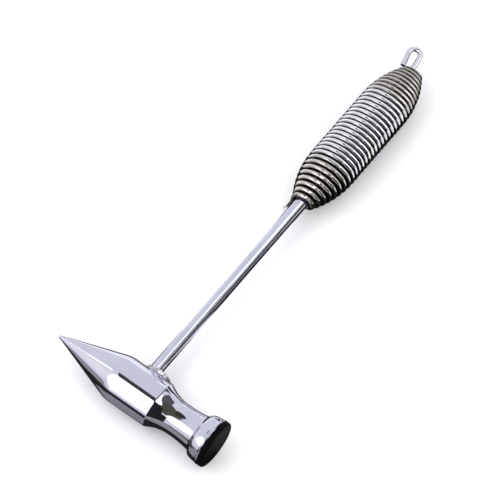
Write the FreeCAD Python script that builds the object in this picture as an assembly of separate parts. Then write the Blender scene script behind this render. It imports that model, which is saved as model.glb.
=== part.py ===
import FreeCAD, Part
import math
import os

os.makedirs("parts", exist_ok=True)

# A spring-handled percussion hammer, lying on its side. All lengths are millimetres.
# While it is drawn, X runs along the head from the pick to the striking pad, Y runs up the
# handle, and the two axes cross at zero. place() then moves everything so that the hammer
# lies on Z = 0 with the middle of its outline over the origin.

# Head: a round pick and a waisted poll turned on an octagonal bar.
BAR_CORNER_RADIUS = 15.3
BAR_BACK_X = -12.3
SHOULDER_X = 14.9
PICK_TIP_X = -56.8
PICK_TIP_RADIUS = 1.1
WAIST_START_X = 29.0
WAIST_START_RADIUS = 10.5
HOLLOW_SECTIONS = 6
WAIST_X = 33.0
WAIST_RADIUS = 10.4
WAIST_END_X = 43.8
WAIST_END_RADIUS = 11.7
COLLAR_BACK_X = 45.8
COLLAR_BACK_RADIUS = 14.0
COLLAR_MIDDLE_X = 48.6
COLLAR_MIDDLE_RADIUS = 14.7
COLLAR_FRONT_X = 51.8
COLLAR_FRONT_RADIUS = 15.0
RIM_RADIUS = 15.4
RIM_FRONT_X = 53.4

# Striking pad: a rubber disc with a rounded edge, bonded to the poll.
PAD_RADIUS = 15.3
PAD_THICKNESS = 3.7
PAD_ROUNDING = 1.8

# Handle rod, in a blind hole in the bar.
ROD_RADIUS = 4.0
ROD_HOLE_CLEARANCE = 0.05
ROD_HOLE_DEPTH = 20.0
ROD_END_Y = 267.2

# Weld where the rod enters the bar. It runs out further towards the poll.
WELD_HEIGHT = 3.4
WELD_PICK_REACH = 6.4
WELD_POLL_REACH = 12.0
WELD_HALF_WIDTH = 5.6
WELD_NECK = 0.5

# Grip: one spring wire, close-wound to an outline with an arc at each end.
WIRE_RADIUS = 1.55
OPEN_SPACING = 3.75
CLOSE_SPACING = 3.27
GRIP_RADIUS = 15.4
GRIP_START_Y = 162.2
GRIP_BARREL_START_Y = 191.7
GRIP_BARREL_END_Y = 241.7
GRIP_END_RADIUS = 6.45
GRIP_END_Y = 272.0
STEPS_PER_TURN = 12
TAIL_ANGLE = math.radians(-118.0)
TAIL_START_Y = 153.6
TAIL_BEND_LENGTH = 3.5
TAIL_BEND_STEPS = 6
TAIL_WELD_RADIUS = 2.2

# Hanging loop: bent from the same wire, one leg down to the rod's end.
LOOP_CENTRE_X = -7.1
LOOP_CENTRE_Y = 283.4
LOOP_BEND_RADIUS = 3.6
LOOP_LEG_X = -1.2
LOOP_TIP_X = -8.2
LOOP_TIP_Y = 273.0
LOOP_WELD_HEIGHT = 1.6
LOOP_WELD_FOOT = 1.0
LOOP_WELD_TOP = 0.3

SIDES = 8
BAR_FLAT_DISTANCE = BAR_CORNER_RADIUS * math.cos(math.pi / SIDES)
PAD_FACE_X = RIM_FRONT_X + PAD_THICKNESS
ROD_FOOT_Y = BAR_FLAT_DISTANCE - ROD_HOLE_DEPTH
HUG_RADIUS = ROD_RADIUS + WIRE_RADIUS + ROD_HOLE_CLEARANCE
WIRE_REACH = WIRE_RADIUS + LOOP_BEND_RADIUS
MIDDLE_X = (PICK_TIP_X + PAD_FACE_X) / 2
MIDDLE_Y = (LOOP_CENTRE_Y + WIRE_REACH - RIM_RADIUS) / 2

X_AXIS = FreeCAD.Vector(1, 0, 0)
Y_AXIS = FreeCAD.Vector(0, 1, 0)


def point(x, y, z=0.0):
    return FreeCAD.Vector(x, y, z)


def place(shape):
    moved = shape.copy()
    moved.translate(point(-MIDDLE_X, -MIDDLE_Y, RIM_RADIUS))
    return moved


def save(name, shape):
    if not shape.isValid():
        raise ValueError(name + " is not a valid shape")
    placed = place(shape)
    placed.exportStep("parts/" + name + ".step")
    box = placed.BoundBox
    print("%-18s solids %d  volume %9.1f  x %7.2f %7.2f  y %7.2f %7.2f  z %6.2f %6.2f" % (
        name, len(placed.Solids), placed.Volume,
        box.XMin, box.XMax, box.YMin, box.YMax, box.ZMin, box.ZMax))


def line(start, end):
    return Part.makeLine(start, end)


def arc(start, middle, end):
    return Part.Arc(start, middle, end).toShape()


def turned(edges):
    """Solid of revolution about the head's axis."""
    return Part.Face(Part.Wire(edges)).revolve(point(0, 0), X_AXIS, 360)


def octagon(x):
    """Octagon across the bar, with one flat square to the handle."""
    corners = []
    for i in range(SIDES + 1):
        angle = math.radians(360.0 / SIDES) * (i + 0.5)
        y = BAR_CORNER_RADIUS * math.cos(angle)
        z = BAR_CORNER_RADIUS * math.sin(angle)
        corners.append(point(x, y, z))
    return Part.makePolygon(corners)


def hollow_section(share):
    """Section at a share of the way from the shoulder to the waist: eight arcs, rounder towards the waist."""
    x = SHOULDER_X + share * (WAIST_START_X - SHOULDER_X)
    keep = (1 - share) ** 2
    corner_radius = WAIST_START_RADIUS + keep * (BAR_CORNER_RADIUS - WAIST_START_RADIUS)
    middle_radius = WAIST_START_RADIUS + keep * (BAR_FLAT_DISTANCE - WAIST_START_RADIUS)
    arcs = []
    for i in range(SIDES):
        points = []
        for step, radius in ((0.5, corner_radius), (1.0, middle_radius), (1.5, corner_radius)):
            angle = math.radians(360.0 / SIDES) * (i + step)
            points.append(point(x, radius * math.cos(angle), radius * math.sin(angle)))
        arcs.append(arc(*points))
    return Part.Wire(arcs)


def make_bar():
    """Octagonal bar with a round cone turned on its pick end."""
    bar = Part.Face(octagon(PICK_TIP_X)).extrude(point(SHOULDER_X - PICK_TIP_X, 0))
    slope = math.atan2(BAR_CORNER_RADIUS, BAR_BACK_X - PICK_TIP_X)
    nose_centre_x = PICK_TIP_X + PICK_TIP_RADIUS
    nose_half = (math.pi / 2 - slope) / 2
    nose_middle = point(nose_centre_x - PICK_TIP_RADIUS * math.cos(nose_half),
                        PICK_TIP_RADIUS * math.sin(nose_half))
    nose_end = point(nose_centre_x - PICK_TIP_RADIUS * math.sin(slope),
                     PICK_TIP_RADIUS * math.cos(slope))
    cone_end = point(BAR_BACK_X, BAR_CORNER_RADIUS)
    front_top = point(SHOULDER_X, BAR_CORNER_RADIUS)
    envelope = turned([
        arc(point(PICK_TIP_X, 0), nose_middle, nose_end),
        line(nose_end, cone_end),
        line(cone_end, front_top),
        line(front_top, point(SHOULDER_X, 0)),
        line(point(SHOULDER_X, 0), point(PICK_TIP_X, 0)),
    ])
    return bar.common(envelope)


def make_waist_hollows():
    """Eight hollow-ground sides that run out into the round waist."""
    shares = [i / HOLLOW_SECTIONS for i in range(1, HOLLOW_SECTIONS + 1)]
    return Part.makeLoft([octagon(SHOULDER_X)] + [hollow_section(share) for share in shares], True, False)


def make_poll():
    """Round waist, full collar and rounded rim."""
    start = point(WAIST_START_X, WAIST_START_RADIUS)
    waist = point(WAIST_X, WAIST_RADIUS)
    waist_end = point(WAIST_END_X, WAIST_END_RADIUS)
    collar_back = point(COLLAR_BACK_X, COLLAR_BACK_RADIUS)
    collar_middle = point(COLLAR_MIDDLE_X, COLLAR_MIDDLE_RADIUS)
    collar_front = point(COLLAR_FRONT_X, COLLAR_FRONT_RADIUS)
    rim_top = point((COLLAR_FRONT_X + RIM_FRONT_X) / 2, RIM_RADIUS)
    rim_front = point(RIM_FRONT_X, COLLAR_FRONT_RADIUS)
    return turned([
        arc(start, waist, waist_end),
        line(waist_end, collar_back),
        arc(collar_back, collar_middle, collar_front),
        arc(collar_front, rim_top, rim_front),
        line(rim_front, point(RIM_FRONT_X, 0)),
        line(point(RIM_FRONT_X, 0), point(WAIST_START_X, 0)),
        line(point(WAIST_START_X, 0), start),
    ])


def rod_bore(start_y, end_y):
    """Room for the handle rod along one stretch of it."""
    return Part.makeCylinder(ROD_RADIUS + ROD_HOLE_CLEARANCE, end_y - start_y, point(0, start_y), Y_AXIS)


def make_head():
    head = make_bar().fuse([make_waist_hollows(), make_poll()]).removeSplitter()
    return head.cut(rod_bore(ROD_FOOT_Y, BAR_FLAT_DISTANCE))


def make_striking_pad():
    disc = Part.makeCylinder(PAD_RADIUS, PAD_THICKNESS, point(RIM_FRONT_X, 0), X_AXIS)
    front_edges = [e for e in disc.Edges if e.BoundBox.XMin > PAD_FACE_X - 0.01]
    return disc.makeFillet(PAD_ROUNDING, front_edges)


def make_handle_rod():
    return Part.makeCylinder(ROD_RADIUS, ROD_END_Y - ROD_FOOT_Y, point(0, ROD_FOOT_Y), Y_AXIS)


def oval(centre, half_length, half_width):
    """Ellipse square to the handle, longer along the head."""
    ellipse = Part.Ellipse(centre + point(half_length, 0), centre + point(0, 0, half_width), centre)
    return Part.Wire(ellipse.toShape())


def make_rod_weld():
    """Bead of weld metal around the rod, on the bar's flat."""
    base_y = BAR_FLAT_DISTANCE
    half_length = (WELD_PICK_REACH + WELD_POLL_REACH) / 2
    top_half_width = ROD_RADIUS + WELD_NECK
    top_half_length = half_length - (WELD_PICK_REACH - top_half_width)
    base_centre = point((WELD_POLL_REACH - WELD_PICK_REACH) / 2, base_y)
    top_centre = base_centre + point(0, WELD_HEIGHT)
    base = oval(base_centre, half_length, WELD_HALF_WIDTH)
    top = oval(top_centre, top_half_length, top_half_width)
    bead = Part.makeLoft([base, top], True, True)
    return bead.cut(rod_bore(base_y - WELD_HEIGHT, base_y + 2 * WELD_HEIGHT))


def arc_radius(run, drop):
    """Radius of an arc that starts level and falls by drop over run."""
    return (run ** 2 + drop ** 2) / (2 * drop)


START_RUN = GRIP_BARREL_START_Y - GRIP_START_Y
START_ARC = arc_radius(START_RUN, GRIP_RADIUS - WIRE_RADIUS - HUG_RADIUS)
START_LENGTH = START_ARC * math.asin(START_RUN / START_ARC)
BARREL_LENGTH = GRIP_BARREL_END_Y - GRIP_BARREL_START_Y
END_RUN = GRIP_END_Y - GRIP_BARREL_END_Y
END_ARC = arc_radius(END_RUN, GRIP_RADIUS - GRIP_END_RADIUS)
END_LENGTH = END_ARC * math.asin(END_RUN / END_ARC)


def outline(distance):
    """Position along the handle and wire-centre radius, by distance along the grip's outline."""
    full_radius = GRIP_RADIUS - WIRE_RADIUS
    if distance < START_LENGTH:
        angle = (START_LENGTH - distance) / START_ARC
        y = GRIP_BARREL_START_Y - START_ARC * math.sin(angle)
        return y, full_radius - START_ARC * (1 - math.cos(angle))
    if distance < START_LENGTH + BARREL_LENGTH:
        return GRIP_BARREL_START_Y + distance - START_LENGTH, full_radius
    angle = (distance - START_LENGTH - BARREL_LENGTH) / END_ARC
    y = GRIP_BARREL_END_Y + END_ARC * math.sin(angle)
    return y, full_radius - END_ARC * (1 - math.cos(angle))


def around_handle(radius, angle, y):
    return point(radius * math.sin(angle), y, radius * math.cos(angle))


def grip_path():
    """Points down the middle of the grip's wire, from its tail on the rod to its last turn."""
    bend_start_y = GRIP_START_Y - TAIL_BEND_LENGTH
    points = [around_handle(HUG_RADIUS, TAIL_ANGLE, TAIL_START_Y),
              around_handle(HUG_RADIUS, TAIL_ANGLE, (TAIL_START_Y + bend_start_y) / 2)]
    quarter = math.pi / 2
    end_rise = OPEN_SPACING / 2
    for i in range(TAIL_BEND_STEPS):
        share = i / TAIL_BEND_STEPS
        rise = (2 * TAIL_BEND_LENGTH - end_rise) * share + (end_rise - TAIL_BEND_LENGTH) * share ** 2
        points.append(around_handle(HUG_RADIUS, TAIL_ANGLE + quarter * share ** 2, bend_start_y + rise))
    open_turns = START_LENGTH / OPEN_SPACING
    close_turns = (BARREL_LENGTH + END_LENGTH) / CLOSE_SPACING
    for i in range(round((open_turns + close_turns) * STEPS_PER_TURN) + 1):
        turn = i / STEPS_PER_TURN
        if turn < open_turns:
            y, radius = outline(turn * OPEN_SPACING)
        else:
            y, radius = outline(START_LENGTH + (turn - open_turns) * CLOSE_SPACING)
        points.append(around_handle(radius, TAIL_ANGLE + quarter + math.tau * turn, y))
    return points


def sweep_wire(path):
    """Round wire along a path."""
    start = path.Edges[0]
    tangent = start.tangentAt(start.FirstParameter)
    ring = Part.Wire(Part.Circle(start.valueAt(start.FirstParameter), tangent, WIRE_RADIUS).toShape())
    return path.makePipeShell([ring], True, True)


def make_grip_spring():
    curve = Part.BSplineCurve()
    curve.interpolate(grip_path())
    return sweep_wire(Part.Wire(curve.toShape()))


def make_tail_weld():
    """Tack of weld metal between the rod and the end of the grip wire's tail."""
    tail_start = around_handle(HUG_RADIUS, TAIL_ANGLE, TAIL_START_Y)
    tack = Part.makeSphere(TAIL_WELD_RADIUS, tail_start, Y_AXIS, -90, 0)
    return tack.cut(rod_bore(TAIL_START_Y - 2 * TAIL_WELD_RADIUS, TAIL_START_Y + TAIL_WELD_RADIUS))


def tangent_point(outside, side):
    """Where a straight leg from a point outside meets the loop's bend."""
    centre = point(LOOP_CENTRE_X, LOOP_CENTRE_Y)
    to_outside = outside - centre
    reach = math.acos(LOOP_BEND_RADIUS / to_outside.Length)
    angle = math.atan2(to_outside.y, to_outside.x) + side * reach
    return centre + point(LOOP_BEND_RADIUS * math.cos(angle), LOOP_BEND_RADIUS * math.sin(angle))


def make_hanging_loop():
    foot = point(LOOP_LEG_X, ROD_END_Y)
    tip = point(LOOP_TIP_X, LOOP_TIP_Y)
    bend_start = tangent_point(foot, 1)
    bend_end = tangent_point(tip, -1)
    bend_top = point(LOOP_CENTRE_X, LOOP_CENTRE_Y + LOOP_BEND_RADIUS)
    path = Part.Wire([line(foot, bend_start), arc(bend_start, bend_top, bend_end), line(bend_end, tip)])
    return sweep_wire(path)


def make_loop_weld():
    """Fillet of weld around the loop's leg, on the rod's end."""
    fillet = Part.makeCone(WIRE_RADIUS + LOOP_WELD_FOOT, WIRE_RADIUS + LOOP_WELD_TOP, LOOP_WELD_HEIGHT,
                           point(LOOP_LEG_X, ROD_END_Y), Y_AXIS)
    return fillet.cut(make_hanging_loop())


save("head", make_head())
save("striking_pad", make_striking_pad())
save("handle_rod", make_handle_rod())
save("rod_weld", make_rod_weld())
save("grip_spring", make_grip_spring())
save("tail_weld", make_tail_weld())
save("hanging_loop", make_hanging_loop())
save("loop_weld", make_loop_weld())
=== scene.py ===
import math

import bpy
from mathutils import Matrix, Vector, noise


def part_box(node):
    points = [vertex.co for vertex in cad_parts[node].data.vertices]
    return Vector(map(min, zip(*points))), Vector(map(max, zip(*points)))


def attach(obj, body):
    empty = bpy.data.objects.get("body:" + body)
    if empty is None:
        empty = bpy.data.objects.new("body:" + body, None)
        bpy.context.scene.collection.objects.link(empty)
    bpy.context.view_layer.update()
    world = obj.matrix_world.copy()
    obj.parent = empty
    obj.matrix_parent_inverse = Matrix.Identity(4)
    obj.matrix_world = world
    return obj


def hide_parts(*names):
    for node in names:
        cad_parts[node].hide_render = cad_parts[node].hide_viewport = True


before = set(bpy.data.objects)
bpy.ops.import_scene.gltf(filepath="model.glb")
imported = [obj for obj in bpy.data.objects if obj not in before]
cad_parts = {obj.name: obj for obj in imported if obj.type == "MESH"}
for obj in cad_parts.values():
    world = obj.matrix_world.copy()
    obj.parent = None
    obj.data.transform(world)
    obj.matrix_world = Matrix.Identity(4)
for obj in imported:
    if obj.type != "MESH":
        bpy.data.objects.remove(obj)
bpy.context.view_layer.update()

# A chromed spring-handled hammer. Shapes are written in millimetres from the point where the
# head's axis (X) and the handle's axis (Y) cross, and at() brings them into the frame.
MM = 0.001
rod_lo, rod_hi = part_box("handle_rod")
head_lo, head_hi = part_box("head")
pad_lo, pad_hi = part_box("striking_pad")
head_middle = (head_lo + head_hi) / 2
CROSSING = Vector(((rod_lo.x + rod_hi.x) / 2, head_middle.y, head_middle.z))

# Head
SIDES = 8
CORNER_RADIUS = 15.3
FLAT_DISTANCE = CORNER_RADIUS * math.cos(math.pi / SIDES)
CORNER_ROUNDING = 4.0
FLAT_TURN = math.radians(4.5)
PICK_TIP_X = (head_lo.x - CROSSING.x) / MM
RIM_FRONT_X = (head_hi.x - CROSSING.x) / MM
PICK_TIP_RADIUS = 1.1
BAR_BACK_X = -12.3
SHOULDER_X = 14.9
WAIST_START_X = 29.0
WAIST_START_RADIUS = 10.5
WAIST_END_X = 43.8
WAIST_END_RADIUS = 11.7
COLLAR_BACK_X = 45.8
COLLAR_BACK_RADIUS = 14.0
COLLAR_FRONT_X = 51.8
COLLAR_FRONT_RADIUS = 15.0
RIM_RADIUS = 15.4
WAIST_FLARE = 2.4
PICK_BLEND = 0.9
SHOULDER_BLEND = 0.35
SHOULDER_BLEND_REACH = 3.0
COLLAR_BLEND = 0.8
PICK_RUNOUT_START_X = -22.0
PICK_RUNOUT_END_X = -10.0
HEAD_WAVINESS = 0.012

# Striking pad
PAD_RADIUS = 15.3
PAD_ROUNDING = 1.8
PAD_FACE_X = (pad_hi.x - CROSSING.x) / MM
PAD_BACK_X = (pad_lo.x - CROSSING.x) / MM
PAD_CROWN = 0.12
PAD_WAVINESS = 0.04
PAD_SIDES = 120

# Handle rod and the weld at its foot
ROD_RADIUS = (rod_hi.x - rod_lo.x) / 2 / MM
ROD_FOOT_Y = (rod_lo.y - CROSSING.y) / MM
ROD_END_Y = (rod_hi.y - CROSSING.y) / MM
ROD_WAVINESS = 0.012
ROD_SIDES = 56
WELD_HEIGHT = 3.4
WELD_PICK_REACH = 6.4
WELD_POLL_REACH = 12.0
WELD_HALF_WIDTH = 5.6
WELD_NECK = 0.5
WELD_RIPPLES = 17
WELD_RIPPLE_DEPTH = 0.22
WELD_RIPPLE_TWIST = 1.1
WELD_SINK = 0.1
WELD_LUMPINESS = 0.12
WELD_SIDES = 180

# Grip wire
WIRE_RADIUS = 1.55
HUG_RADIUS = ROD_RADIUS + WIRE_RADIUS + 0.05
OPEN_SPACING = 3.75
CLOSE_SPACING = 3.27
GRIP_RADIUS = 15.4
GRIP_START_Y = 162.2
GRIP_BARREL_START_Y = 191.7
GRIP_BARREL_END_Y = 241.7
GRIP_END_RADIUS = 6.45
GRIP_END_Y = 272.0
TAIL_ANGLE = math.radians(-118.0)
TAIL_START_Y = 153.6
TAIL_BEND_LENGTH = 3.5
TAIL_BEND_STEPS = 16
STEPS_PER_TURN = 64
WIRE_SIDES = 20
CUT_ROUNDING = 0.3
CUT_STEPS = 4
GRIP_LEAN = 0.9
GRIP_UNEVENNESS = 0.05
# Painted shade between the grip's turns: the angles round the wire where it starts and where it is full,
# and how much further out it comes where the grip closes in.
GAP_SHADE_START = math.radians(9)
GAP_SHADE_FULL = math.radians(60)
GAP_SHADE_CROWDING = 0.9
WARM_FADE = 8.0

# Hanging loop
LOOP_CENTRE = Vector((-7.1, 283.4, 0))
LOOP_BEND_RADIUS = 3.6
LOOP_FOOT = Vector((-1.2, ROD_END_Y, 0))
LOOP_TIP = Vector((-8.2, 273.0, 0))
LOOP_STEPS = 40

# Camera: a long lens looking down from beyond the head, on the pad's side, and turned a little about
# its own axis. CAMERA_FIELD is the width of the view in metres.
CAMERA_AZIMUTH = math.radians(25.9)
CAMERA_ELEVATION = math.radians(60.8)
CAMERA_ROLL = math.radians(11.9)
CAMERA_LENS = 1250.0
CAMERA_FIELD = 0.291
AIM_RIGHT = 0.0649
AIM_UP = 0.0816
AIM_DEPTH = 0.055

# Stage, in metres
FLOOR_HALF_WIDTH = 3.0
CARD_HEIGHT = 0.0003
KEY_TOWARD = Vector((-0.45, -0.45, 0.77))
KEY_DISTANCE = 2.0
KEY_SIZE = 1.2
KEY_POWER = 9.0
STRIP_RADIANCE = 2.2
ROOM_COLOUR = (0.93, 0.93, 0.97)
BACKDROP_COLOUR = (0.93, 0.93, 0.95)
SOFT_LIGHT_COLOUR = (1.3, 1.3, 1.3)


def at(x, y, z):
    return CROSSING + Vector((x, y, z)) * MM


def smooth_min(a, b, softness):
    overlap = max(softness - abs(a - b), 0.0) / softness
    return min(a, b) - overlap * overlap * softness / 4


def smooth_step(share):
    """Eases a share of 0 to 1 at both ends, and holds it there beyond them."""
    share = min(max(share, 0), 1)
    return share * share * (3 - 2 * share)


def wobble(x, y, z, wavelength, seed):
    """Smooth noise from -1 to 1 with a wavelength in millimetres."""
    return noise.noise(Vector((x, y, z)) / wavelength + Vector((seed, 2 * seed, 3 * seed)))


# ---------------------------------------------------------------- meshes


def mesh_piece(name, points, faces, material, replaced, gap_shade=()):
    """New piece from points in millimetres, riding on the hammer and standing for CAD nodes."""
    mesh = bpy.data.meshes.new(name)
    mesh.from_pydata([at(*p) for p in points], [], faces)
    mesh.shade_smooth()
    # Painted shade per point, if given, goes to the material as a point attribute.
    if gap_shade:
        mesh.attributes.new("gap_shade", "FLOAT", "POINT").data.foreach_set("value", gap_shade)
    mesh.materials.append(material)
    piece = bpy.data.objects.new(name, mesh)
    bpy.context.scene.collection.objects.link(piece)
    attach(piece, "root")
    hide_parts(*replaced)


def closed_tube(rings):
    """Points and faces of a closed skin through rings of equal length, capped at both ends."""
    sides = len(rings[0])
    points = [p for ring in rings for p in ring]
    faces = []
    for i in range(len(rings) - 1):
        for j in range(sides):
            k = (j + 1) % sides
            faces.append((i * sides + j, i * sides + k, (i + 1) * sides + k, (i + 1) * sides + j))
    for first, turn in ((0, 1), ((len(rings) - 1) * sides, -1)):
        centre = len(points)
        ring = points[first:first + sides]
        points.append(tuple(sum(p[axis] for p in ring) / sides for axis in range(3)))
        for j in range(sides):
            corner = (first + j, first + (j + 1) % sides)[::turn]
            faces.append((centre, corner[1], corner[0]))
    return points, faces


def spaced(start, end, count):
    """Evenly spaced values from start up to, but not including, end."""
    return [start + (end - start) * i / count for i in range(count)]


def wire_rings(centres, outsides, radius):
    """Rings of a round wire. Each ring starts on the side of its centre that outsides points to."""
    rings = []
    for i, (centre, outside) in enumerate(zip(centres, outsides)):
        along = (centres[min(i + 1, len(centres) - 1)] - centres[max(i - 1, 0)]).normalized()
        across = along.cross(outside).normalized()
        outward = across.cross(along)
        ring = []
        for turn in spaced(0, math.tau, WIRE_SIDES):
            ring.append(centre + (outward * math.cos(turn) + across * math.sin(turn)) * radius)
        rings.append(ring)
    return rings


def cut_edge(ring, neighbour):
    """Rings over the rounded edge of a wire's cut end, from the wire outwards."""
    centre = sum(ring, Vector()) / len(ring)
    outward = (centre - sum(neighbour, Vector()) / len(neighbour)).normalized()
    edge = []
    for step in range(CUT_STEPS + 1):
        turn = math.pi / 2 * step / CUT_STEPS
        shrink = CUT_ROUNDING * (1 - math.cos(turn))
        sink = CUT_ROUNDING * (1 - math.sin(turn))
        edge.append([p + (centre - p).normalized() * shrink - outward * sink for p in ring])
    return edge


def with_cut_ends(rings):
    """Replaces a wire's first and last rings by rounded edges, each of which adds CUT_STEPS rings."""
    start_edge = cut_edge(rings[0], rings[1])
    end_edge = cut_edge(rings[-1], rings[-2])
    return start_edge[::-1] + rings[1:-1] + end_edge


# ---------------------------------------------------------------- materials


def new_material(name):
    material = bpy.data.materials.new(name)
    material.use_nodes = True
    tree = material.node_tree
    return material, tree, tree.nodes["Principled BSDF"]


def add(tree, kind, **settings):
    made = tree.nodes.new(kind)
    for key, value in settings.items():
        setattr(made, key, value)
    return made


def object_place(tree, stretch=(1, 1, 1)):
    """Place on the object, in metres, scaled along each axis."""
    where = add(tree, "ShaderNodeTexCoord")
    mapping = add(tree, "ShaderNodeMapping")
    mapping.inputs["Scale"].default_value = stretch
    tree.links.new(where.outputs["Object"], mapping.inputs["Vector"])
    return mapping.outputs["Vector"]


def noise_field(tree, place, scale, detail=4.0, roughness=0.55):
    texture = add(tree, "ShaderNodeTexNoise")
    texture.inputs["Scale"].default_value = scale
    texture.inputs["Detail"].default_value = detail
    texture.inputs["Roughness"].default_value = roughness
    tree.links.new(place, texture.inputs["Vector"])
    return texture.outputs["Fac"]


def remap(tree, value, low, high, new_low, new_high):
    """Maps a range of a value to a new range, clamped."""
    ranged = add(tree, "ShaderNodeMapRange", interpolation_type="SMOOTHSTEP")
    ranged.inputs["From Min"].default_value = low
    ranged.inputs["From Max"].default_value = high
    ranged.inputs["To Min"].default_value = new_low
    ranged.inputs["To Max"].default_value = new_high
    tree.links.new(value, ranged.inputs["Value"])
    return ranged.outputs["Result"]


def combine(tree, operation, first, second):
    """A sum, product or other join of two values, either of which may be a number."""
    joined = add(tree, "ShaderNodeMath", operation=operation)
    for socket, value in zip(joined.inputs, (first, second)):
        if isinstance(value, (int, float)):
            socket.default_value = value
        else:
            tree.links.new(value, socket)
    return joined.outputs["Value"]


def blend_colours(tree, factor, first, second):
    mixed = add(tree, "ShaderNodeMix", data_type="RGBA")
    tree.links.new(factor, mixed.inputs["Factor"])
    for socket, colour in ((mixed.inputs[6], first), (mixed.inputs[7], second)):
        if isinstance(colour, tuple):
            socket.default_value = (*colour, 1)
        else:
            tree.links.new(colour, socket)
    return mixed.outputs[2]


def bump(tree, shader, height, strength, distance):
    raised = add(tree, "ShaderNodeBump")
    raised.inputs["Strength"].default_value = strength
    raised.inputs["Distance"].default_value = distance
    tree.links.new(height, raised.inputs["Height"])
    tree.links.new(raised.outputs["Normal"], shader.inputs["Normal"])


def plate(tree, shader, bright, dull, polish, scratch_stretch):
    """Chrome plate: cloudy tint, smudges in the gloss, and fine polishing lines. Returns the tint."""
    shader.inputs["Metallic"].default_value = 1.0
    place = object_place(tree)
    clouds = noise_field(tree, place, scale=70)
    smudges = remap(tree, noise_field(tree, place, scale=160, detail=6), 0.5, 0.72, 0, 1)
    lines = noise_field(tree, object_place(tree, scratch_stretch), scale=1, detail=3, roughness=0.7)
    worn = remap(tree, lines, 0.60, 0.74, 0, 0.07)
    gloss = combine(tree, "ADD", remap(tree, smudges, 0, 1, polish, polish + 0.09), worn)
    tree.links.new(gloss, shader.inputs["Roughness"])
    tint = blend_colours(tree, remap(tree, clouds, 0.35, 0.65, 0, 1), bright, dull)
    tree.links.new(tint, shader.inputs["Base Color"])
    bump(tree, shader, lines, strength=0.06, distance=0.00003)
    return tint


def head_chrome():
    """Polished round the head, across its length."""
    material, tree, shader = new_material("head_chrome")
    plate(tree, shader, (0.64, 0.64, 0.75), (0.60, 0.60, 0.71), 0.045, (2600, 160, 160))
    return material


def rod_chrome():
    """Polished along the rod."""
    material, tree, shader = new_material("rod_chrome")
    plate(tree, shader, (0.64, 0.64, 0.75), (0.58, 0.58, 0.69), 0.06, (2200, 40, 2200))
    return material


def wire_chrome():
    material, tree, shader = new_material("wire_chrome")
    plate(tree, shader, (0.72, 0.72, 0.79), (0.62, 0.62, 0.69), 0.07, (1500, 1500, 1500))
    return material


def grip_warmth(tree):
    """0 along the grip's barrel, rising to 1 where it narrows at either end."""
    where = add(tree, "ShaderNodeTexCoord")
    parts = add(tree, "ShaderNodeSeparateXYZ")
    tree.links.new(where.outputs["Object"], parts.inputs["Vector"])
    start = at(0, GRIP_BARREL_START_Y, 0).y
    end = at(0, GRIP_BARREL_END_Y, 0).y
    fade = WARM_FADE * MM
    from_start = remap(tree, parts.outputs["Y"], start - fade, start, 1, 0)
    from_end = remap(tree, parts.outputs["Y"], end, end + fade, 0, 1)
    return combine(tree, "MAXIMUM", from_start, from_end)


def grip_chrome():
    """Wire with painted shade between its turns. The plate is thinner and warmer where the grip narrows.
    """
    material, tree, shader = new_material("grip_chrome")
    tint = plate(tree, shader, (0.88, 0.88, 0.92), (0.80, 0.80, 0.85), 0.07, (1500, 1500, 1500))
    warm_tint = blend_colours(tree, grip_warmth(tree), tint, (0.62, 0.59, 0.55))
    # Painted shade between the wire's turns, read from the mesh and made a little patchy, takes the plate
    # to near black.
    gap_shade = add(tree, "ShaderNodeAttribute", attribute_name="gap_shade").outputs["Fac"]
    patches = noise_field(tree, object_place(tree), scale=500)
    patchy = combine(tree, "MULTIPLY", gap_shade, remap(tree, patches, 0.3, 0.7, 0.85, 1))
    gap_shaded = blend_colours(tree, patchy, warm_tint, (0.036, 0.033, 0.031))
    tree.links.new(gap_shaded, shader.inputs["Base Color"])
    return material


def weld_chrome():
    """Plated weld metal, duller, with a fine pitted skin."""
    material, tree, shader = new_material("weld_chrome")
    shader.inputs["Metallic"].default_value = 1.0
    place = object_place(tree)
    pits = noise_field(tree, place, scale=900, detail=5, roughness=0.65)
    clouds = remap(tree, noise_field(tree, place, scale=220), 0.38, 0.62, 0, 1)
    tint = blend_colours(tree, clouds, (0.62, 0.62, 0.67), (0.40, 0.39, 0.40))
    tree.links.new(tint, shader.inputs["Base Color"])
    tree.links.new(remap(tree, pits, 0.35, 0.7, 0.14, 0.34), shader.inputs["Roughness"])
    bump(tree, shader, pits, strength=0.35, distance=0.00012)
    return material


def pad_rubber():
    """Black rubber with a fine moulded grain and paler scuffs."""
    material, tree, shader = new_material("pad_rubber")
    place = object_place(tree)
    grain = noise_field(tree, place, scale=2600, detail=3, roughness=0.6)
    scuffing = noise_field(tree, place, scale=240, detail=7, roughness=0.7)
    scuffs = remap(tree, scuffing, 0.56, 0.74, 0, 1)
    tint = blend_colours(tree, scuffs, (0.0015, 0.0015, 0.002), (0.007, 0.007, 0.008))
    shader.inputs["Specular IOR Level"].default_value = 0.06
    tree.links.new(tint, shader.inputs["Base Color"])
    tree.links.new(remap(tree, grain, 0.3, 0.7, 0.55, 0.8), shader.inputs["Roughness"])
    bump(tree, shader, grain, strength=0.3, distance=0.00006)
    return material


# ---------------------------------------------------------------- head


def ray_to_circle(centre_distance, radius, angle):
    """Reach from the axis to a circle, at an angle from the direction of the circle's centre."""
    sideways = centre_distance * math.sin(angle)
    return centre_distance * math.cos(angle) + math.sqrt(radius ** 2 - sideways ** 2)


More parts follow.
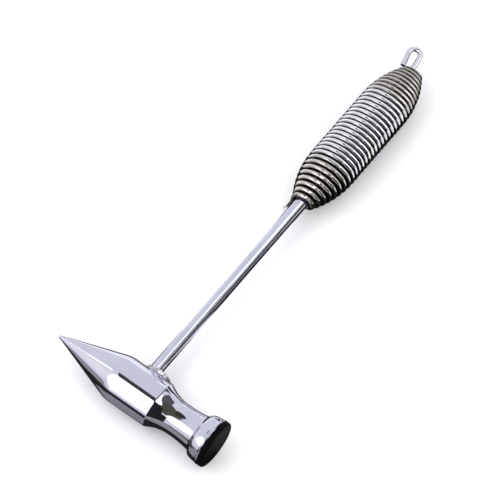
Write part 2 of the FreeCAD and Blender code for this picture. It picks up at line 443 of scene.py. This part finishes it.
# The bar's flats are wide arcs that turn by FLAT_TURN either way and run smoothly into its corners.
HALF_SIDE = math.pi / SIDES
FLAT_ARC = ((math.tan(HALF_SIDE) * FLAT_DISTANCE
             + CORNER_ROUNDING * (math.sin(FLAT_TURN) - math.tan(HALF_SIDE) * math.cos(FLAT_TURN)))
            / (math.sin(FLAT_TURN) + math.tan(HALF_SIDE) * (1 - math.cos(FLAT_TURN))))
FLAT_CENTRE = FLAT_DISTANCE - FLAT_ARC
CORNER_CENTRE = (FLAT_ARC - CORNER_ROUNDING) * math.sin(FLAT_TURN) / math.sin(HALF_SIDE)
FLAT_END = math.atan(FLAT_ARC * math.sin(FLAT_TURN) / (FLAT_CENTRE + FLAT_ARC * math.cos(FLAT_TURN)))


def bar_radius(angle):
    """Distance from the axis to the octagonal bar, with slightly crowned flats and rounded corners."""
    from_middle = abs((angle + HALF_SIDE) % (2 * HALF_SIDE) - HALF_SIDE)
    if from_middle < FLAT_END:
        return ray_to_circle(FLAT_CENTRE, FLAT_ARC, from_middle)
    return ray_to_circle(CORNER_CENTRE, CORNER_ROUNDING, HALF_SIDE - from_middle)


def pick_radius(x):
    """Cone that widens from the rounded tip to the bar's corners."""
    slope = math.atan2(CORNER_RADIUS, BAR_BACK_X - PICK_TIP_X)
    nose_end_x = PICK_TIP_X + PICK_TIP_RADIUS * (1 - math.sin(slope))
    nose_end_radius = PICK_TIP_RADIUS * math.cos(slope)
    if x < nose_end_x:
        from_centre = PICK_TIP_X + PICK_TIP_RADIUS - x
        return math.sqrt(max(PICK_TIP_RADIUS ** 2 - from_centre ** 2, 0))
    share = (x - nose_end_x) / (BAR_BACK_X - nose_end_x)
    return nose_end_radius + (CORNER_RADIUS - nose_end_radius) * share


def hollow_radius(x, angle):
    """Hollow-ground sides between the shoulder and the round waist."""
    keep = max(WAIST_START_X - x, 0) / (WAIST_START_X - SHOULDER_X)
    return WAIST_START_RADIUS + (bar_radius(angle) - WAIST_START_RADIUS) * keep ** 2


def turned_radius(x):
    """Waist, collar and rim."""
    if x < WAIST_END_X:
        share = (x - WAIST_START_X) / (WAIST_END_X - WAIST_START_X)
        return WAIST_START_RADIUS + (WAIST_END_RADIUS - WAIST_START_RADIUS) * share ** WAIST_FLARE
    collar_slope = (COLLAR_BACK_RADIUS - WAIST_END_RADIUS) / (COLLAR_BACK_X - WAIST_END_X)
    back = WAIST_END_RADIUS + (x - WAIST_END_X) * collar_slope
    to_front = (COLLAR_FRONT_X - x) / (COLLAR_FRONT_X - COLLAR_BACK_X)
    side = COLLAR_FRONT_RADIUS - (COLLAR_FRONT_RADIUS - COLLAR_BACK_RADIUS) * to_front ** 2
    collar = smooth_min(back, side, COLLAR_BLEND)
    if x < COLLAR_FRONT_X:
        return collar
    half = (RIM_FRONT_X - COLLAR_FRONT_X) / 2
    from_middle = (x - COLLAR_FRONT_X - half) / half
    return COLLAR_FRONT_RADIUS + (RIM_RADIUS - COLLAR_FRONT_RADIUS) * (1 - from_middle ** 2)


def bar_end_radius(x, angle):
    """Bar with its pick and shoulder, up to a little way into the hollows."""
    flat = bar_radius(angle)
    bar = smooth_min(flat, pick_radius(x), PICK_BLEND)
    hollow_slope = (flat - WAIST_START_RADIUS) * 2 / (WAIST_START_X - SHOULDER_X)
    if x > SHOULDER_X:
        hollow = hollow_radius(x, angle)
    else:
        hollow = flat + (SHOULDER_X - x) * hollow_slope
    return smooth_min(bar, hollow, SHOULDER_BLEND)


def head_radius(x, angle):
    """Distance from the head's axis to its skin, which isn't quite true behind the pick's tip."""
    if x >= WAIST_START_X:
        radius = turned_radius(x)
    elif x > SHOULDER_X + SHOULDER_BLEND_REACH:
        radius = hollow_radius(x, angle)
    else:
        radius = bar_end_radius(x, angle)
    if x <= PICK_TIP_X + PICK_TIP_RADIUS:
        return radius
    height = radius * math.sin(angle)
    width = radius * math.cos(angle)
    return radius - HEAD_WAVINESS * (1 + wobble(x, width, height, wavelength=7.0, seed=0.37))


def head_angles():
    """Angles round the bar, closer together at its corners."""
    angles = []
    for i in range(SIDES):
        middle = 2 * HALF_SIDE * i
        angles += [middle + a for a in spaced(-FLAT_END, FLAT_END, 12)]
        angles += [middle + a for a in spaced(FLAT_END, 2 * HALF_SIDE - FLAT_END, 10)]
    return angles


def head_stations():
    """Places along the head, closer together where its outline turns."""
    stations = [PICK_TIP_X + PICK_TIP_RADIUS * (1 - math.cos(turn)) for turn in spaced(0.12, 1.2, 8)]
    stretches = (
        (stations[-1] + 0.3, PICK_RUNOUT_START_X, 50),
        (PICK_RUNOUT_START_X, PICK_RUNOUT_END_X, 40),
        (PICK_RUNOUT_END_X, SHOULDER_X - 1, 36),
        (SHOULDER_X - 1, SHOULDER_X + 1, 20),
        (SHOULDER_X + 1, WAIST_START_X, 34),
        (WAIST_START_X, WAIST_END_X, 24),
        (WAIST_END_X, COLLAR_BACK_X + 1, 20),
        (COLLAR_BACK_X + 1, COLLAR_FRONT_X, 10),
        (COLLAR_FRONT_X, RIM_FRONT_X, 12),
    )
    for start, end, count in stretches:
        stations += spaced(start, end, count)
    return stations + [RIM_FRONT_X]


def build_head(material):
    """One forging, from the pick's tip to the rim."""
    angles = head_angles()
    rings = []
    for x in head_stations():
        ring = []
        for angle in angles:
            radius = head_radius(x, angle)
            ring.append((x, radius * math.cos(angle), radius * math.sin(angle)))
        rings.append(ring)
    points, faces = closed_tube(rings)
    mesh_piece("head_forging", points, faces, material, ["head"])


def build_pad(material):
    """Rubber disc: rounded edge and a slightly crowned face."""
    profile = [(PAD_BACK_X, PAD_RADIUS)]
    middle = PAD_RADIUS - PAD_ROUNDING
    for turn in spaced(0, math.pi / 2, 10):
        profile.append((PAD_FACE_X - PAD_CROWN - PAD_ROUNDING * (1 - math.sin(turn)),
                        middle + PAD_ROUNDING * math.cos(turn)))
    for radius in spaced(middle, 0.4, 16):
        profile.append((PAD_FACE_X - PAD_CROWN * (radius / middle) ** 2, radius))
    rings = []
    for x, radius in profile:
        ring = []
        for angle in spaced(0, math.tau, PAD_SIDES):
            y = radius * math.cos(angle)
            z = radius * math.sin(angle)
            sink = PAD_WAVINESS * (1 + wobble(x, y, z, wavelength=4.0, seed=1.3))
            ring.append((x - sink, y, z))
        rings.append(ring)
    points, faces = closed_tube(rings)
    mesh_piece("striking_pad_rubber", points, faces, material, ["striking_pad"])


# ---------------------------------------------------------------- handle


def build_rod(material):
    """Drawn rod, not quite true."""
    rings = []
    for y in spaced(ROD_FOOT_Y, ROD_END_Y, 260) + [ROD_END_Y]:
        ring = []
        for angle in spaced(0, math.tau, ROD_SIDES):
            x = math.sin(angle)
            z = math.cos(angle)
            uneven = wobble(4 * x, y / 6, 4 * z, wavelength=3.0, seed=2.1)
            radius = ROD_RADIUS - ROD_WAVINESS * (1 + uneven)
            ring.append((radius * x, y, radius * z))
        rings.append(ring)
    points, faces = closed_tube(rings)
    mesh_piece("rod_stock", points, faces, material, ["handle_rod"])


def build_weld(material):
    """Rippled bead round the foot of the rod, longer towards the poll."""
    half_length = (WELD_PICK_REACH + WELD_POLL_REACH) / 2
    centre_x = (WELD_POLL_REACH - WELD_PICK_REACH) / 2
    top_half_width = ROD_RADIUS + WELD_NECK
    slope_run = WELD_PICK_REACH - top_half_width
    rings = []
    for turn in spaced(0, math.pi / 2, 12) + [math.pi / 2]:
        share = math.sin(turn)
        inward = 1 - math.cos(turn)
        half_width = WELD_HALF_WIDTH - (WELD_HALF_WIDTH - top_half_width) * inward
        lift = WELD_HEIGHT * share
        ring = []
        for angle in spaced(0, math.tau, WELD_SIDES):
            ripple = 1 - abs(math.sin(angle * WELD_RIPPLES / 2 + WELD_RIPPLE_TWIST * share))
            sink = WELD_RIPPLE_DEPTH * ripple * math.sin(math.pi * share) + WELD_SINK * share
            x = centre_x + (half_length - slope_run * inward - sink) * math.cos(angle)
            z = (half_width - sink) * math.sin(angle)
            lump = WELD_LUMPINESS * share * (1 + wobble(x, lift, z, wavelength=2.5, seed=0.7))
            ring.append((x, FLAT_DISTANCE + lift - lump, z))
        rings.append(ring)
    points, faces = closed_tube(rings)
    mesh_piece("rod_weld_bead", points, faces, material, ["rod_weld"])


def arc_radius(run, drop):
    """Radius of an arc that starts level and falls by drop over run."""
    return (run ** 2 + drop ** 2) / (2 * drop)


START_RUN = GRIP_BARREL_START_Y - GRIP_START_Y
START_ARC = arc_radius(START_RUN, GRIP_RADIUS - WIRE_RADIUS - HUG_RADIUS)
START_LENGTH = START_ARC * math.asin(START_RUN / START_ARC)
BARREL_LENGTH = GRIP_BARREL_END_Y - GRIP_BARREL_START_Y
END_RUN = GRIP_END_Y - GRIP_BARREL_END_Y
END_ARC = arc_radius(END_RUN, GRIP_RADIUS - GRIP_END_RADIUS)
END_LENGTH = END_ARC * math.asin(END_RUN / END_ARC)


def outline(distance):
    """Position along the handle, wire-centre radius and slope, by distance along the grip's outline."""
    full_radius = GRIP_RADIUS - WIRE_RADIUS
    if distance < START_LENGTH:
        slope = (START_LENGTH - distance) / START_ARC
        y = GRIP_BARREL_START_Y - START_ARC * math.sin(slope)
        return y, full_radius - START_ARC * (1 - math.cos(slope)), slope
    if distance < START_LENGTH + BARREL_LENGTH:
        return GRIP_BARREL_START_Y + distance - START_LENGTH, full_radius, 0
    slope = (distance - START_LENGTH - BARREL_LENGTH) / END_ARC
    y = GRIP_BARREL_END_Y + END_ARC * math.sin(slope)
    return y, full_radius - END_ARC * (1 - math.cos(slope)), -slope


def around_handle(radius, angle, y):
    return Vector((radius * math.sin(angle), y, radius * math.cos(angle)))


def grip_stations():
    """Radius, angle, place along the handle and outline's slope, from the wire's tail to its last turn."""
    bend_start_y = GRIP_START_Y - TAIL_BEND_LENGTH
    stations = [(HUG_RADIUS, TAIL_ANGLE, y, 0) for y in spaced(TAIL_START_Y, bend_start_y, 10)]
    quarter = math.pi / 2
    end_rise = OPEN_SPACING / 2
    for share in spaced(0, 1, TAIL_BEND_STEPS):
        rise = (2 * TAIL_BEND_LENGTH - end_rise) * share + (end_rise - TAIL_BEND_LENGTH) * share ** 2
        stations.append((HUG_RADIUS, TAIL_ANGLE + quarter * share ** 2, bend_start_y + rise, 0))
    open_turns = START_LENGTH / OPEN_SPACING
    close_turns = (BARREL_LENGTH + END_LENGTH) / CLOSE_SPACING
    for i in range(round((open_turns + close_turns) * STEPS_PER_TURN) + 1):
        turn = i / STEPS_PER_TURN
        if turn < open_turns:
            y, radius, slope = outline(turn * OPEN_SPACING)
        else:
            y, radius, slope = outline(START_LENGTH + (turn - open_turns) * CLOSE_SPACING)
        stations.append((radius, TAIL_ANGLE + quarter + math.tau * turn, y, slope))
    return stations


def groove_shade(turn, slope):
    """Painted shade by direction round the wire: none on the grip's outside, full between its turns.

    It comes further out where the grip closes in towards the loop.
    """
    from_outside = abs((turn - slope + math.pi) % math.tau - math.pi)
    crowding = 1 - GAP_SHADE_CROWDING * max(-slope, 0)
    start = GAP_SHADE_START * crowding
    return smooth_step((from_outside - start) / (GAP_SHADE_FULL * crowding - start))


def grip_gap_shade(slopes):
    """Painted shade at every point of the grip's wire, by the outline's slope at each of its rings."""
    slopes = [slopes[0]] * CUT_STEPS + slopes + [slopes[-1]] * CUT_STEPS
    round_wire = spaced(0, math.tau, WIRE_SIDES)
    at_caps = [0, 0]
    return [groove_shade(turn, slope) for slope in slopes for turn in round_wire] + at_caps


def build_grip(material):
    """Close-wound grip. Its turns lean a little, and none is quite like the next."""
    stations = grip_stations()
    full_rise = GRIP_RADIUS - WIRE_RADIUS - HUG_RADIUS
    centres = []
    for radius, angle, y, slope in stations:
        share = max((radius - HUG_RADIUS) / full_rise, 0)
        lean = GRIP_LEAN * share * math.sin(angle)
        shift = GRIP_UNEVENNESS * share * wobble(angle / 2, y / 3, 0, wavelength=1.0, seed=4.2)
        uneven = wobble(angle / 3, y / 4, 5, wavelength=1.0, seed=1.9)
        inset = GRIP_UNEVENNESS * share * (1 + uneven)
        centres.append(around_handle(radius - inset, angle, y + lean + shift))
    outsides = [around_handle(1, angle, 0) for radius, angle, y, slope in stations]
    rings = with_cut_ends(wire_rings(centres, outsides, WIRE_RADIUS))
    # Painted shade for every point of the wire.
    gap_shade = grip_gap_shade([slope for radius, angle, y, slope in stations])
    points, faces = closed_tube(rings)
    mesh_piece("grip_wire", points, faces, material, ["grip_spring"], gap_shade)


def tangent_angle(outside, side):
    """Direction from the loop's centre to where a leg from a point outside meets its bend."""
    to_outside = outside - LOOP_CENTRE
    reach = math.acos(LOOP_BEND_RADIUS / to_outside.length)
    return math.atan2(to_outside.y, to_outside.x) + side * reach


def build_loop(material):
    """Bent eye: one leg down to the rod's end, and one that stops short."""
    start = tangent_angle(LOOP_FOOT, 1)
    end = tangent_angle(LOOP_TIP, -1) % math.tau
    bend = [LOOP_CENTRE + Vector((math.cos(a), math.sin(a), 0)) * LOOP_BEND_RADIUS
            for a in spaced(start, end, LOOP_STEPS) + [end]]
    centres = [LOOP_FOOT.lerp(bend[0], s) for s in spaced(0, 1, 14)] + bend
    centres += [LOOP_TIP.lerp(bend[-1], 1 - s) for s in spaced(0.1, 1, 10) + [1]]
    outsides = [Vector((0, 0, 1))] * len(centres)
    points, faces = closed_tube(with_cut_ends(wire_rings(centres, outsides, WIRE_RADIUS)))
    mesh_piece("hanging_loop_wire", points, faces, material, ["hanging_loop"])


# ---------------------------------------------------------------- stage


def camera_axes():
    """Right, up and towards the viewer, for the camera."""
    level = Vector((math.cos(CAMERA_AZIMUTH), math.sin(CAMERA_AZIMUTH), 0))
    out = Vector((math.sin(CAMERA_AZIMUTH), -math.cos(CAMERA_AZIMUTH), 0))
    toward = out * math.cos(CAMERA_ELEVATION) + Vector((0, 0, math.sin(CAMERA_ELEVATION)))
    steep = toward.cross(level)
    right = level * math.cos(CAMERA_ROLL) + steep * math.sin(CAMERA_ROLL)
    return right, toward.cross(right), toward


def make_camera():
    right, up, toward = camera_axes()
    data = bpy.data.cameras.new("camera")
    data.lens = CAMERA_LENS
    distance = CAMERA_FIELD * CAMERA_LENS / data.sensor_width
    camera = bpy.data.objects.new("camera", data)
    bpy.context.scene.collection.objects.link(camera)
    aim = CROSSING + right * AIM_RIGHT + up * AIM_UP - toward * AIM_DEPTH
    turned = Matrix((right, up, toward)).transposed().to_4x4()
    camera.matrix_world = Matrix.Translation(aim + toward * distance) @ turned
    data.clip_end = 4 * distance
    bpy.context.scene.camera = camera


def sheet(name, corners, material):
    """Flat sheet that isn't part of the object."""
    mesh = bpy.data.meshes.new(name)
    mesh.from_pydata(corners, [], [(0, 1, 2, 3)])
    mesh.materials.append(material)
    made = bpy.data.objects.new(name, mesh)
    bpy.context.scene.collection.objects.link(made)
    return made


def level_corners(x_range, y_range, z):
    (x0, x1), (y0, y1) = x_range, y_range
    return [(x0, y0, z), (x1, y0, z), (x1, y1, z), (x0, y1, z)]


def make_floor():
    material, tree, shader = new_material("pale_floor")
    clouds = noise_field(tree, object_place(tree), scale=3)
    paint = blend_colours(tree, clouds, (0.86, 0.86, 0.88), (0.88, 0.88, 0.90))
    tree.links.new(paint, shader.inputs["Base Color"])
    tree.links.new(remap(tree, clouds, 0.3, 0.7, 0.75, 0.9), shader.inputs["Roughness"])
    shader.inputs["Specular IOR Level"].default_value = 0.1
    across = (-FLOOR_HALF_WIDTH, FLOOR_HALF_WIDTH)
    sheet("floor", level_corners(across, across, 0), material)


def felt(name, darkest, palest):
    """Rough grey card, mottled between two brightnesses."""
    material, tree, shader = new_material(name)
    fibres = noise_field(tree, object_place(tree), scale=40)
    shade = blend_colours(tree, fibres, (darkest,) * 3, (palest,) * 3)
    tree.links.new(shade, shader.inputs["Base Color"])
    shader.inputs["Roughness"].default_value = 1.0
    shader.inputs["Specular IOR Level"].default_value = 0.0
    return material


def card(name, corners, material):
    """Sheet that is seen in the chrome and nowhere else."""
    made = sheet(name, corners, material)
    made.visible_camera = False
    made.visible_diffuse = False
    made.visible_shadow = False


def hang_card(name, x_range, y_range, height, material):
    """Level card at a height over the floor, placed in metres from the crossing of head and handle."""
    x_range = [CROSSING.x + x for x in x_range]
    y_range = [CROSSING.y + y for y in y_range]
    card(name, level_corners(x_range, y_range, height), material)


def lay_card(name, x_range, y_range, material, layer=1):
    """Card on the floor. A higher layer lies over the cards of a lower one."""
    hang_card(name, x_range, y_range, CARD_HEIGHT * layer, material)


def stand_card(name, start, end, height, material):
    """Upright card from the level of the head's axis, between two points measured from the crossing."""
    corners = [CROSSING + Vector((*foot, 0)) for foot in (start, end)]
    rise = Vector((0, 0, height))
    card(name, corners + [corner + rise for corner in reversed(corners)], material)


def lay_cards():
    """Cards round the hammer, which give the chrome its dark edges and lines. The black cards under and
    behind the head and under the grip, and the grey one at the soft edge behind the head, are painted
    shadow: the shaded floor round the hammer, seen only in the chrome.
    """
    black = felt("black_felt", 0.01, 0.03)
    olive = felt("olive_felt", 0.09, 0.12)
    grey = felt("grey_felt", 0.22, 0.30)
    pale = felt("pale_felt", 0.74, 0.80)
    lay_card("card_front", (-0.5, 0.5), (-0.7, 0.005), grey)
    lay_card("card_before_bar", (-0.05, 0.012), (-0.12, -0.026), black, 2)
    # Painted shadow under the head, seen only in the chrome.
    lay_card("card_under_head", (-0.09, 0.1), (-0.017, 0.005), black, 2)
    lay_card("card_before_pick", (-0.09, -0.03), (-0.026, -0.017), black, 2)
    lay_card("card_before_neck", (0.0125, 0.06), (-0.026, -0.017), black, 2)
    # Painted shadow behind the head, black and then grey at its soft edge, seen only in the chrome.
    lay_card("card_behind_head", (-0.12, 0.06), (0.005, 0.045), black)
    lay_card("card_behind_edge", (-0.12, 0.06), (0.045, 0.058), grey)
    lay_card("card_beside_rod", (0.01, 0.3), (0.08, 0.19), black)
    # Painted shadow under the grip, seen only in the chrome.
    lay_card("card_under_grip", (-0.045, 0.035), (0.155, 0.31), black)
    lay_card("card_beside_grip", (0.035, 0.6), (0.19, 0.55), pale)
    hang_card("card_over_poll", (0.05, 0.135), (0.05, 0.19), 0.2, olive)
    hang_card("card_over_hollow", (0.05, 0.15), (-0.17, -0.035), 0.075, black)
    hang_card("card_over_grip", (-0.02, 0.20), (0.14, 0.36), 0.25, pale)
    stand_card("card_beside_hollow", (0.12, 0.075), (0.12, 0.245), 0.13, olive)
    stand_card("card_before_hollow", (0.03, -0.10), (0.17, -0.10), 0.065, black)


def glow(name, radiance):
    """Plain white light."""
    material, tree, shader = new_material(name)
    shader.inputs["Base Color"].default_value = (0, 0, 0, 1)
    shader.inputs["Emission Color"].default_value = (1, 1, 1, 1)
    shader.inputs["Emission Strength"].default_value = radiance
    return material


def hang_strip():
    """Narrow light over the handle, which draws the bright line along the rod."""
    hang_card("strip_light", (0.0021, 0.0095), (0.028, 0.175), 0.04, glow("strip_glow", STRIP_RADIANCE))


def key_light():
    """Soft light from over the viewer's left shoulder, for the floor and the rubber."""
    data = bpy.data.lights.new("key", "AREA")
    data.shape = "SQUARE"
    data.size = KEY_SIZE
    data.energy = KEY_POWER
    light = bpy.data.objects.new("key", data)
    light.location = KEY_TOWARD * KEY_DISTANCE
    light.rotation_mode = "QUATERNION"
    light.rotation_quaternion = KEY_TOWARD.to_track_quat("Z", "Y")
    light.visible_camera = False
    light.visible_glossy = False
    bpy.context.scene.collection.objects.link(light)


def patch(tree, where, under, centre, reach, colour, edge):
    """Lays a soft-edged oval of one colour over the room, in the direction of its centre."""
    mapping = add(tree, "ShaderNodeMapping")
    mapping.inputs["Location"].default_value = [-c / r for c, r in zip(centre, reach)]
    mapping.inputs["Scale"].default_value = [1 / r for r in reach]
    length = add(tree, "ShaderNodeVectorMath", operation="LENGTH")
    tree.links.new(where, mapping.inputs["Vector"])
    tree.links.new(mapping.outputs["Vector"], length.inputs[0])
    share = remap(tree, length.outputs["Value"], 1 - edge, 1 + edge, 1, 0)
    return blend_colours(tree, share, under, colour)


# What the chrome sees of the room: direction, reach, colour and softness of each oval, the later ones
# lying over the earlier ones.
ROOM_PATCHES = (
    # Darkness overhead, for the hollows of the waist
    ((0.30, -0.25, 0.95), (0.58, 0.65, 0.60), (0.10, 0.098, 0.075), 0.05),
    # Dark spot, for the line along the bar's upper corner
    ((-0.213, 0.06, 0.97), (0.10, 0.24, 0.20), (0.05, 0.049, 0.042), 0.1),
    # Large window, for the facet and the waist on the camera's side
    ((-0.30, -0.80, 0.61), (0.36, 0.36, 0.30), (3.0, 3.0, 3.0), 0.25),
    # Two windows, for the shoulder end of the hollows
    ((0.82, 0.44, 0.35), (0.20, 0.25, 0.30), (2.4, 2.4, 2.4), 0.3),
    ((0.66, 0.15, 0.70), (0.16, 0.42, 0.25), (2.5, 2.5, 2.5), 0.2),
    # Small lamp, for the bright line along the pick
    ((-0.753, -0.114, 0.646), (0.07, 0.07, 0.07), (1.8, 1.8, 1.8), 0.5),
    # Pale wall, for the pick below that line
    ((-0.74, -0.48, 0.38), (0.15, 0.32, 0.30), (1.15, 1.13, 1.10), 0.4),
)


def make_room():
    """World light: a patterned room for the chrome, and even light for the floor and the rubber."""
    world = bpy.data.worlds.new("room")
    bpy.context.scene.world = world
    world.use_nodes = True
    tree = world.node_tree
    where = add(tree, "ShaderNodeTexCoord").outputs["Generated"]
    room = ROOM_COLOUR
    for centre, reach, colour, edge in ROOM_PATCHES:
        room = patch(tree, where, room, centre, reach, colour, edge)
    rays = add(tree, "ShaderNodeLightPath")
    lit = blend_colours(tree, rays.outputs["Is Diffuse Ray"], room, SOFT_LIGHT_COLOUR)
    seen = blend_colours(tree, rays.outputs["Is Camera Ray"], lit, BACKDROP_COLOUR)
    tree.links.new(seen, tree.nodes["Background"].inputs["Color"])


# ---------------------------------------------------------------- assembly


def dress_small_welds(material):
    """The two small welds keep their CAD shapes and get the weld finish."""
    for node in ("tail_weld", "loop_weld"):
        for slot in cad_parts[node].material_slots:
            slot.material = material


weld_metal = weld_chrome()
build_head(head_chrome())
build_pad(pad_rubber())
build_rod(rod_chrome())
build_weld(weld_metal)
build_grip(grip_chrome())
build_loop(wire_chrome())
dress_small_welds(weld_metal)
make_floor()
lay_cards()
hang_strip()
key_light()
make_room()
make_camera()
bpy.context.scene.view_settings.view_transform = "Standard"
